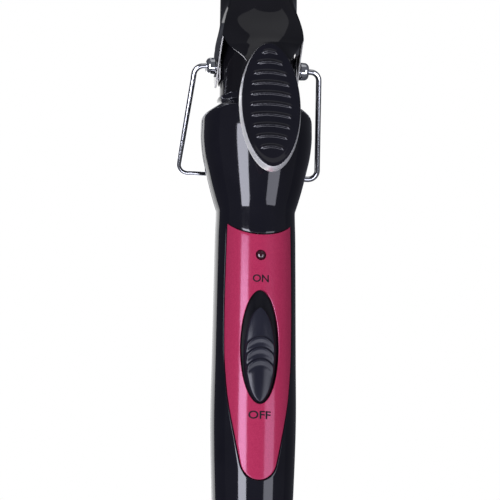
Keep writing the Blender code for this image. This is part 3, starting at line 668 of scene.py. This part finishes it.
APEX_Y, NOTCH_END, EAR_END = 6.8 * MM, -4.9 * MM, -6.8 * MM
FLARE_START, BLADE_TIP = 26.0 * MM, 131.0 * MM
EAR_X = 13.55 * MM
APEX = (13.2 * MM, 13.4 * MM)
TONGUE_HALF = 7.1 * MM
NECK_HEIGHTS = (  # (y, inner height of the middle line) in mm
    (34.0, 12.8), (26.0, 12.8), (20.0, 13.6), (13.0, 15.3), (5.3, 18.6), (0.0, 22.2), (-4.9, 24.3),
    (-12.0, 25.75), (-38.0, 31.15),
)


def blade_reach(y):
    reach = math.radians(mix(80, 62, smoothstep(y, 20 * MM, BLADE_TIP)))
    left = (BLADE_TIP - y) / (10 * MM)
    return reach * math.sqrt(max(0.0, 1 - (1 - min(1.0, left)) ** 2))


def clip_point(y, part):
    """A point of the blade's inner face: part is -1 to 1 over the arch, on to -2 and 2 down its sides."""
    side, reach = math.copysign(1.0, part), abs(part)
    turn = side * blade_reach(y) * (0.62 * min(reach, 1.0) + 0.38 * max(0.0, reach - 1.0))
    radius = BARREL_R + GAP
    top = smooth_along(NECK_HEIGHTS, y)
    if reach <= 1:
        flat_x, flat_z = APEX[0] * part, top - (top - APEX[1]) * reach ** 2.4
    else:
        flat_x, flat_z = side * mix(APEX[0], EAR_X, reach - 1), mix(APEX[1], -2.5 * MM, reach - 1)
    lift = 1 - smoothstep(y, APEX_Y, FLARE_START)
    if reach > 1:
        lift = mix(lift, 1 - smoothstep(y, APEX_Y, APEX_Y + 8 * MM), reach - 1)
    x, z = mix(radius * math.sin(turn), flat_x, lift), mix(radius * math.cos(turn), flat_z, lift)
    return Vector((x, y, z))


def tongue_point(y, part):
    narrow = smoothstep(-y, -APEX_Y, -NOTCH_END)
    half = mix(APEX[0], TONGUE_HALF, min(1.0, (APEX_Y - y) / (APEX_Y - NOTCH_END)))
    half *= 1 - 0.55 * smoothstep(-y, 26 * MM, 40 * MM)
    top = smooth_along(NECK_HEIGHTS, y)
    crown = mix(top - APEX[1], 0.5 * MM, narrow)
    return Vector((half * part, y, top - crown * abs(part) ** 2.4))


def ear_point(part_along, part_down, side):
    y = mix(APEX_Y, EAR_END, part_along)
    top = mix(APEX[1], -1 * MM, part_along ** 0.8)
    bulge = math.sqrt(max(0.0, 1 - (2 * part_along - 1) ** 2))
    bottom = -1 * MM - 3.2 * MM * bulge - 1.5 * MM * (1 - part_along)
    x = side * mix(APEX[0], EAR_X, min(1.0, part_down * (1 - part_along) + part_along))
    return Vector((x, y, mix(top, bottom, part_down)))


def make_clip():
    shape = bmesh.new()
    arch, flank = 40, 12
    parts = [mix(-2, -1, i / flank) for i in range(flank)] + [mix(-1, 1, i / arch) for i in range(arch)]
    parts += [mix(1, 2, i / flank) for i in range(flank + 1)]
    ys = [BLADE_TIP - 10 * MM * (1 - math.cos(math.pi / 2 * i / 16)) for i in range(17)]
    ys += stations(BLADE_TIP - 10 * MM, FLARE_START, 4 * MM)[1:]
    ys += stations(FLARE_START, APEX_Y, 0.7 * MM)[1:]
    grid_faces(shape, [[clip_point(y, part) for part in parts] for y in ys])
    tongue_parts = [mix(-1, 1, i / arch) for i in range(arch + 1)]
    tongue_ys = stations(APEX_Y, NOTCH_END, 0.5 * MM) + stations(NOTCH_END, -38 * MM, 1.2 * MM)[1:]
    neck = [[clip_point(APEX_Y, part) for part in tongue_parts]]
    neck += [[tongue_point(y, part) for part in tongue_parts] for y in tongue_ys[1:]]
    grid_faces(shape, neck)
    for side in (-1, 1):
        ear = [[clip_point(APEX_Y, side * mix(1, 2, i / flank)) for i in range(flank + 1)]]
        ear += [[ear_point(step / 24, i / flank, side) for i in range(flank + 1)] for step in range(1, 25)]
        grid_faces(shape, ear)
    blade = piece("clip_sheet", shape, [ENAMEL, EDGE], "clip", ["clip_blade"], 45)
    face = max(blade.data.polygons, key=lambda polygon: polygon.area)
    if face.normal.dot(Vector((face.center.x, 0, face.center.z - AXIS_Z))) < 0:
        blade.data.flip_normals()
    thicken(blade, SHEET, 1.0, 1)
    for face in blade.data.polygons:
        if face.center.y > PIVOT_Y + APEX_Y + 0.5 * MM:
            face.material_index = 0
    hole = turned([(-18 * MM, 2.2 * MM), (18 * MM, 2.2 * MM)], 40, "X", (0, 0, PIVOT_UP), capped=True)
    subtract(blade, hole, "ear_holes")
    return blade


PAD_NEAR, PAD_FAR = (0.7 * MM, 27.0 * MM), (-43.6 * MM, 36.2 * MM)
PAD_HALF = 9.6 * MM
RIB_COUNT = 10


def pad_place():
    near, far = Vector((0, *PAD_NEAR)), Vector((0, *PAD_FAR))
    ahead = (near - far).normalized()
    up = Vector((1, 0, 0)).cross(ahead)
    turn = Matrix((Vector((1, 0, 0)), ahead, up)).transposed().to_4x4()
    return Matrix.Translation(near) @ turn, (near - far).length


def pad_edge(length, turn, grow):
    lengthways, across = math.cos(turn), math.sin(turn) * (1 - 0.06 * math.cos(turn) ** 2)
    return (PAD_HALF + grow) * across, -length / 2 + (length / 2 + grow) * lengthways


def pad_height(x, y, inward, length):
    """Height of the pad's top face: a raised rim, a shallow dish inside it, and the ribs across the dish."""
    height = -0.34 * MM * smoothstep(inward, 0.35 * MM, 1.5 * MM)
    for i in range(RIB_COUNT):
        centre = mix(-3.8 * MM, -length + 6.4 * MM, i / (RIB_COUNT - 1))
        if abs(y - centre) > 3 * MM:
            continue
        lengthways = (centre + length / 2) / (length / 2)
        half = 0.71 * PAD_HALF * math.sqrt(1 - lengthways * lengthways) ** 1.6
        across = smoothstep(half - abs(x), 0.0, 0.8 * MM)
        away = y - centre - 0.9 * MM * (1 - (x / half) ** 2)
        spread = 0.62 * MM if away > 0 else 0.46 * MM
        height += 0.66 * MM * across * math.exp(-(away / spread) ** 2)
    return height


def make_pad():
    """The black ribbed face in its bright rim."""
    place, length = pad_place()
    rows, columns = 420, 48
    shape = bmesh.new()
    turns = [math.pi * i / rows for i in range(rows + 1)]
    top = []
    for turn in turns:
        edge, y = pad_edge(length, turn, -0.1 * MM)
        line = []
        for c in range(columns + 1):
            x = edge * math.sin(math.pi / 2 * mix(-1, 1, c / columns))
            inward = (1 - math.hypot(x / PAD_HALF, (y + length / 2) / (length / 2))) * PAD_HALF
            line.append(Vector((x, y, pad_height(x, y, inward, length))))
        top.append(line)
    grid_faces(shape, top)
    face_count = len(shape.faces)
    skirt = ((-0.1, 0.0), (0.03, -0.1), (0.12, -0.28), (0.17, -0.5),
             (0.30, -1.2), (0.50, -2.4), (0.55, -2.85), (0.5, -3.0))
    whole = turns + [2 * math.pi - turn for turn in turns[-2:0:-1]]
    rings = [[Vector((*pad_edge(length, t, grow * MM), z * MM)) for t in whole] for grow, z in skirt]
    add_rings(shape, rings)
    base = [shape.verts.new(point) for point in rings[-1]]
    shape.faces.new(base)
    shape.faces.ensure_lookup_table()
    for face in shape.faces[face_count:]:
        face.material_index = 0 if face.calc_center_median().z > -0.12 * MM else 1
    shape.transform(place)
    return piece("ribbed_pad", shape, [BLACK, RIM], "clip", ["thumb_pad"], 60)


# Stand and pivot ----------------------------------------------------------------------------------------

WIRE_R = 0.95 * MM
WIRE_BEND = 3 * MM
STAND_TOP_X, STAND_FOOT_X = 21.0 * MM, 24.0 * MM
STAND_REACH, STAND_DROP = 32 * MM, 19.6 * MM


def bent(corners, radius, steps=12):
    """The path through the corners, each replaced by a bend."""
    path = [corners[0]]
    for before, corner, after in zip(corners, corners[1:], corners[2:]):
        back, ahead = (before - corner).normalized(), (after - corner).normalized()
        half = math.acos(max(-1.0, min(1.0, back.dot(ahead)))) / 2
        cut = min(radius / math.tan(half), (before - corner).length * 0.49, (after - corner).length * 0.49)
        start, end = corner + back * cut, corner + ahead * cut
        centre = corner + (back + ahead).normalized() * (cut / math.cos(half))
        first, last = start - centre, end - centre
        for i in range(steps + 1):
            path.append(centre + first.slerp(last, i / steps) * first.length)
    path.append(corners[-1])
    return path


def make_stand():
    foot = (-STAND_REACH, PIVOT_UP - STAND_DROP)
    corners = [Vector(place) for place in (
        (-EAR_X, 0, PIVOT_UP), (-STAND_TOP_X, 0, PIVOT_UP), (-STAND_FOOT_X, *foot),
        (STAND_FOOT_X, *foot), (STAND_TOP_X, 0, PIVOT_UP), (EAR_X, 0, PIVOT_UP))]
    loop = wire(bent(corners, WIRE_BEND), WIRE_R, 28)
    piece("stand_loop", loop, CHROME, "stand", ["stand_wire"], 60)


def make_bushings():
    for name, side in (("left", -1), ("right", 1)):
        start, neck, out = 12.9, 14.38, 17.4
        profile = [(start, 1.3), (start, 1.85), (neck, 1.85), (neck, 2.92)]
        profile += [(neck + 0.12, 3.0), (neck + 0.45, 3.0)]
        profile += [(out - 1.5 + 1.5 * math.sin(t), 1.45 + 1.5 * math.cos(t)) for t in
                    (mix(0.0, math.pi / 2, i / 10) for i in range(11))]
        profile += [(out - 0.05, 1.36), (out - 0.25, 1.3)]
        points = [(side * x * MM, r * MM) for x, r in profile]
        piece(f"pivot_rivet_{name}", turned(points, 56, "X", (0, 0, PIVOT_UP)), CHROME, "handle",
              [f"pivot_bushing_{name}"], 40)


def make_saddle():
    inner = BARREL_R + GAP
    shape = bmesh.new()
    grid = []
    for y in (-5 * MM, -4.8 * MM, 0.0, 4.8 * MM, 5 * MM):
        line = [Vector((-inner, y, 3.6 * MM))]
        line += [Vector((inner * math.sin(t), y, -inner * math.cos(t)))
                 for t in (mix(-math.pi / 2, math.pi / 2, i / 64) for i in range(65))]
        line.append(Vector((inner, y, 3.6 * MM)))
        grid.append(line)
    grid_faces(shape, grid)
    saddle = piece("pivot_strap", shape, [STEEL, EDGE], "handle", ["pivot_saddle"], 40)
    lowest = min(saddle.data.polygons, key=lambda polygon: polygon.center.z)
    if lowest.normal.z > 0:
        saddle.data.flip_normals()
    thicken(saddle, 0.4 * MM, 1.0, 1)
    hole = turned([(-18 * MM, 2.2 * MM), (18 * MM, 2.2 * MM)], 40, "X", (0, 0, PIVOT_UP), capped=True)
    subtract(saddle, hole, "strap_holes")


def make_spring():
    low, high = BARREL_R + 0.8 * MM, 22.3 * MM
    path = []
    for i in range(6 * 36 + 1):
        turn = 2 * math.pi * i / 36
        sideways, lengthways = 2.6 * MM * math.cos(turn), 2.6 * MM * math.sin(turn)
        path.append(Vector((sideways, lengthways - 4.6 * MM, mix(low, high, i / 216))))
    spring = piece("return_spring", wire(path, 0.35 * MM, 12), STEEL, "handle", ["clip_spring"], 60)
    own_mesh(spring)


# Barrel, gland and screws -------------------------------------------------------------------------------

BARREL_ROOT, BARREL_END, TIP_LENGTH, TIP_FACE_R = -30 * MM, 139 * MM, 13 * MM, 6.5 * MM


def make_barrel():
    wall = BARREL_R - 0.8 * MM
    profile = [(BARREL_ROOT, wall), (BARREL_ROOT, BARREL_R)]
    profile += [(y, BARREL_R) for y in stations(BARREL_ROOT, BARREL_END, 6 * MM)[1:-1]]
    profile += [(BARREL_END - 0.2 * MM, BARREL_R), (BARREL_END, BARREL_R - 0.15 * MM), (BARREL_END, wall)]
    piece("barrel", turned(profile, 160), BARREL_BLACK, "handle", ["barrel_tube"], 40)
    start = BARREL_END + GAP
    plug = wall - GAP
    dome = [(BARREL_END - 8 * MM, 0.5 * MM), (BARREL_END - 8 * MM, plug), (start, plug),
            (start, BARREL_R - 0.25 * MM), (start + 0.25 * MM, BARREL_R), (start + 3 * MM, BARREL_R),
            (start + 3.15 * MM, BARREL_R - 0.25 * MM),
            (start + 3.45 * MM, BARREL_R - 0.25 * MM), (start + 3.6 * MM, BARREL_R)]
    for i in range(25):
        turn = math.pi / 2 * i / 24
        dome.append((start + 4 * MM + (TIP_LENGTH - 4 * MM - GAP) * math.sin(turn),
                     TIP_FACE_R + (BARREL_R - TIP_FACE_R) * math.cos(turn)))
    dome.append((BARREL_END + TIP_LENGTH, 0.4 * MM))
    piece("cool_tip", turned(dome, 120, capped=True), BLACK, "handle", ["barrel_tip"], 30)


def make_gland():
    neck, wall_in, wall_out = 5.0, -179.4 + 0.3, -182.0 - 0.3
    profile = [(-164, 3.0), (-164, 4.2), (-174.5, 4.2), (-174.5, 6.4), (wall_in, 6.4), (wall_in, neck),
               (wall_out, neck), (wall_out, 7.3), (-182.5, 7.4), (-184.2, 7.22)]
    for start in (-184.2, -185.6):
        profile += [(start - 0.15, 6.9), (start - 0.65, 6.85), (start - 0.8, 7.1)]
    profile += [(-187.2, 6.75), (-187.7, 6.5), (-188, 6.0), (-188, 3.3), (-187.6, 3.0)]
    rounded = soft([(y * MM, r * MM) for y, r in profile], 0.15 * MM, 3)
    piece("cord_bush", turned(rounded, 96), BLACK, "swivel", ["cord_gland"], 40)


def make_handle_screws():
    """Domed heads with a crossed slot, seated in the back of the handle."""
    for name in ("handle_screw_near", "handle_screw_far"):
        y = middle(name).y - PIVOT_Y
        head_out, head_in, end, rod = -12.7, -11.6, 7.5, 1.0
        profile = [(end, 0.02), (end, rod), (head_in, rod), (head_in, 2.3), (head_in - 0.3, 2.4)]
        profile += [(head_in - 0.3 - 0.8 * math.sin(t), 0.9 + 1.5 * math.cos(t)) for t in
                    (mix(0.0, math.pi / 2, i / 10) for i in range(1, 11))]
        profile.append((head_out, 0.02))
        points = [(z * MM, r * MM) for z, r in profile]
        head = piece(f"{name}_head", turned(points, 48, "Z", (0, y, 0), capped=True), STEEL, "handle",
                     [name], 35)
        for turn in (0.0, math.pi / 2):
            bar = bmesh.new()
            bmesh.ops.create_cube(bar, size=1.0)
            bar.transform(Matrix.Translation((0, y, -12.6 * MM)) @ Matrix.Rotation(turn + 0.5, 4, "Z")
                          @ Matrix.Diagonal((2.9 * MM, 0.55 * MM, 1.0 * MM, 1)))
            subtract(head, bar, "slot")


def paint(material, *nodes):
    """Gives carried-over nodes a better material."""
    for node in nodes:
        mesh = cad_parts[node].data
        if not mesh.materials:
            mesh.materials.append(material)
        for index in range(len(mesh.materials)):
            mesh.materials[index] = material


def paint_inner_parts():
    paint(ALUMINIUM, "heat_spreader_front", "heat_spreader_rear")
    paint(CERAMIC, "heater_plate")
    paint(SLEEVE, "heater_lead_left", "heater_lead_right", "switch_lever")
    paint(RESIN, "thermal_fuse", "barrel_ring")
    paint(BOARD, "circuit_board")
    paint(LENS, "indicator_lamp")
    paint(STEEL, "slide_switch", "board_screw_near", "board_screw_far", "pad_screw_near", "pad_screw_far")
    paint(BRASS, "contact_ring_live", "contact_ring_neutral", "contact_brush_live", "contact_brush_neutral")


# Studio -------------------------------------------------------------------------------------------------

FLOOR_GLOW = 0.10


def make_floor():
    shape = bmesh.new()
    bmesh.ops.create_grid(shape, x_segments=1, y_segments=1, size=6.0)
    mesh = bpy.data.meshes.new("floor")
    shape.to_mesh(mesh)
    shape.free()
    floor = bpy.data.objects.new("floor", mesh)
    floor.location.z = -0.2 * MM
    bpy.context.collection.objects.link(floor)
    made = Nodes("studio_floor")
    path = made.add("ShaderNodeLightPath")
    glow = made.add("ShaderNodeEmission", Color=(1, 1, 1, 1), Strength=1.0)
    dim = made.add("ShaderNodeEmission", Color=(0.8, 0.83, 1.0, 1), Strength=FLOOR_GLOW)
    blend = made.add("ShaderNodeMixShader")
    made.link(path.outputs["Is Camera Ray"], blend.inputs[0])
    made.link(dim.outputs[0], blend.inputs[1])
    made.link(glow.outputs[0], blend.inputs[2])
    made.link(blend.outputs[0], made.tree.nodes["Material Output"].inputs["Surface"])
    mesh.materials.append(made.material)


def make_world():
    world = bpy.data.worlds.new("studio")
    world.use_nodes = True
    tree = world.node_tree
    back = tree.nodes["Background"]
    back.inputs["Color"].default_value = (0.85, 0.88, 1.0, 1)
    back.inputs["Strength"].default_value = 0.15
    white = tree.nodes.new("ShaderNodeBackground")
    white.inputs["Strength"].default_value = 1.0
    path = tree.nodes.new("ShaderNodeLightPath")
    blend = tree.nodes.new("ShaderNodeMixShader")
    tree.links.new(path.outputs["Is Camera Ray"], blend.inputs[0])
    tree.links.new(back.outputs[0], blend.inputs[1])
    tree.links.new(white.outputs[0], blend.inputs[2])
    tree.links.new(blend.outputs[0], tree.nodes["World Output"].inputs["Surface"])
    bpy.context.scene.world = world


def panel_light(name, side, up, distance, width, length, radiance, colour=(1, 1, 1), glossy=True):
    """A soft box aimed at the handle: side is its angle from overhead, up its lean towards the tip."""
    data = bpy.data.lights.new(name, "AREA")
    data.shape = "RECTANGLE"
    data.size, data.size_y = width, length
    data.energy = radiance * math.pi * width * length
    data.color = colour
    lamp = bpy.data.objects.new(name, data)
    side, up = math.radians(side), math.radians(up)
    away = Vector((math.sin(side) * math.cos(up), math.sin(up), math.cos(side) * math.cos(up)))
    across = Vector((0, 1, 0)).cross(away).normalized()
    along = away.cross(across)
    turn = Matrix((across, along, away)).transposed().to_4x4()
    centre = Vector((0, PIVOT_Y - 60 * MM, AXIS_Z))
    lamp.matrix_world = Matrix.Translation(centre + away * distance) @ turn
    lamp.visible_camera = False
    lamp.visible_glossy = glossy
    bpy.context.collection.objects.link(lamp)
    return lamp


COOL = (0.86, 0.87, 1.0)


def make_lights():
    panel_light("strip_left", -37.0, -10.2, 1.2, 0.48, 1.155, 11.0, COOL)
    panel_light("strip_right", 36.4, -12, 1.2, 0.60, 1.02, 3.6, COOL)
    panel_light("box_tip", 22, 73, 1.5, 1.1, 1.25, 0.34)
    panel_light("bar_low", 0, -35, 1.4, 1.8, 0.34, 4.0, COOL)
    panel_light("key_soft", -35, 25, 1.5, 0.9, 0.9, 3.0, glossy=False)
    panel_light("fill_soft", 35, 10, 1.5, 0.9, 0.9, 1.5, glossy=False)
    for name, across, wide, start, end, radiance in (
        ("floor_glow_left", -21 * MM, 26 * MM, -230 * MM, 3 * MM, 1.6),
        ("floor_glow_ahead", -17 * MM, 10 * MM, 24 * MM, 170 * MM, 0.6),
    ):
        under = panel_light(name, 180, 0, 0.1, wide, end - start, radiance)
        centre = (across, PIVOT_Y + (start + end) / 2, 0)
        under.matrix_world = Matrix.Translation(centre) @ Matrix.Rotation(math.pi, 4, "X")


# Making it ----------------------------------------------------------------------------------------------

bpy.context.scene.view_settings.view_transform = "Standard"
make_camera()
make_front_shell()
make_rear_shell()
make_panel()
make_recess_floor()
make_lens()
make_knob()
make_word("word_on", "ON", -75.2 * MM, 5.3 * MM, 2.55 * MM)
make_word("word_off", "OFF", -120.4 * MM, 7.3 * MM, 2.65 * MM)
make_clip()
make_pad()
make_stand()
make_bushings()
make_saddle()
make_spring()
make_barrel()
make_gland()
make_handle_screws()
paint_inner_parts()
make_floor()
make_world()
make_lights()
